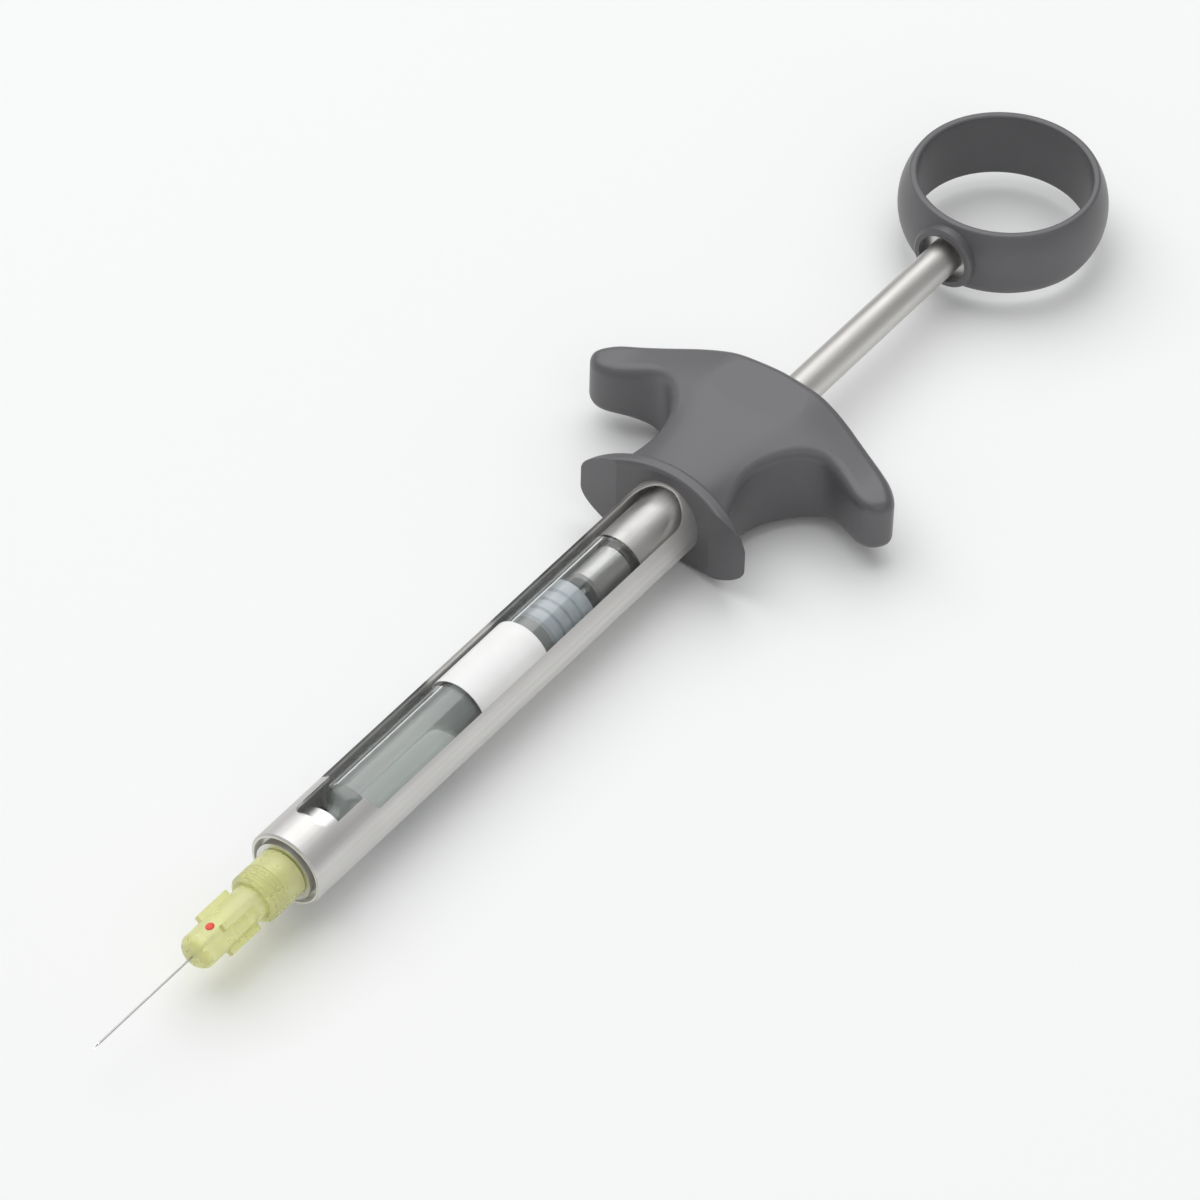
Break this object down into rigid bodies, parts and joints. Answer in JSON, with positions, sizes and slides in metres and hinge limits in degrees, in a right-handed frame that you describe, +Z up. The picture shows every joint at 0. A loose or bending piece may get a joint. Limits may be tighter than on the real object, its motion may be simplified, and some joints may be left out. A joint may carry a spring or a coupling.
{
  "type": "dental aspirating syringe",
  "caption": "Reusable dental cartridge syringe with a windowed steel barrel, winged finger grip, thumb ring, harpoon plunger, fitted glass cartridge and short needle.",
  "frame": {"origin": "centre of the barrel's open front end, on the syringe's axis", "axes": "+X along the syringe towards the needle's tip, +Y across the finger wings, +Z up, out of the loading window"},
  "size_m": [0.2084, 0.0484, 0.0148],
  "materials": {
    "barrel_steel": "satin, brushed along the tube",
    "rod_steel": "brushed lengthwise",
    "polished_steel": "fine turned",
    "spring_steel": "drawn wire",
    "needle_steel": "bright drawn tube",
    "grip_plastic": "satin, fine moulded texture",
    "hub_plastic": "see-through moulded",
    "clear_glass": "drawn tube",
    "cap_aluminium": "pressed foil",
    "label_film": "blank printed film",
    "stopper_rubber": "moulded",
    "seal_rubber": "moulded"
  },
  "bodies": {
    "root": {"barrel": "barrel_steel", "needle_adapter": "polished_steel", "grip": "grip_plastic", "stop_ring": "polished_steel", "sleeve_spring": "spring_steel", "spring_washer": "polished_steel", "rod_guide": "polished_steel", "rod_seal": "seal_rubber", "gland_nut": "polished_steel", "cartridge_glass": "clear_glass", "cartridge_cap": "cap_aluminium", "cartridge_diaphragm": "seal_rubber", "cartridge_label": "label_film", "needle_hub": "hub_plastic", "needle": "needle_steel"},
    "stopper": {"stopper": "stopper_rubber"},
    "plunger": {"rod": "rod_steel", "piston_head": "polished_steel", "harpoon": "polished_steel", "thumb_ring": "grip_plastic", "ring_insert": "polished_steel"},
    "sleeve": {"sleeve": "polished_steel"}
  },
  "joints": [
    {"name": "stopper_slide", "type": "slide", "parent": "root", "child": "stopper", "axis": [1, 0, 0], "range_m": [-0.002, 0.036]},
    {"name": "plunger_slide", "type": "slide", "parent": "stopper", "child": "plunger", "axis": [1, 0, 0], "range_m": [-0.026, 0]},
    {"name": "sleeve_slide", "type": "slide", "parent": "root", "child": "sleeve", "axis": [1, 0, 0], "range_m": [-0.007, 0], "stiffness_N_per_m": 200, "springref_m": 0.002, "deforming": ["sleeve_spring"]}
  ]
}
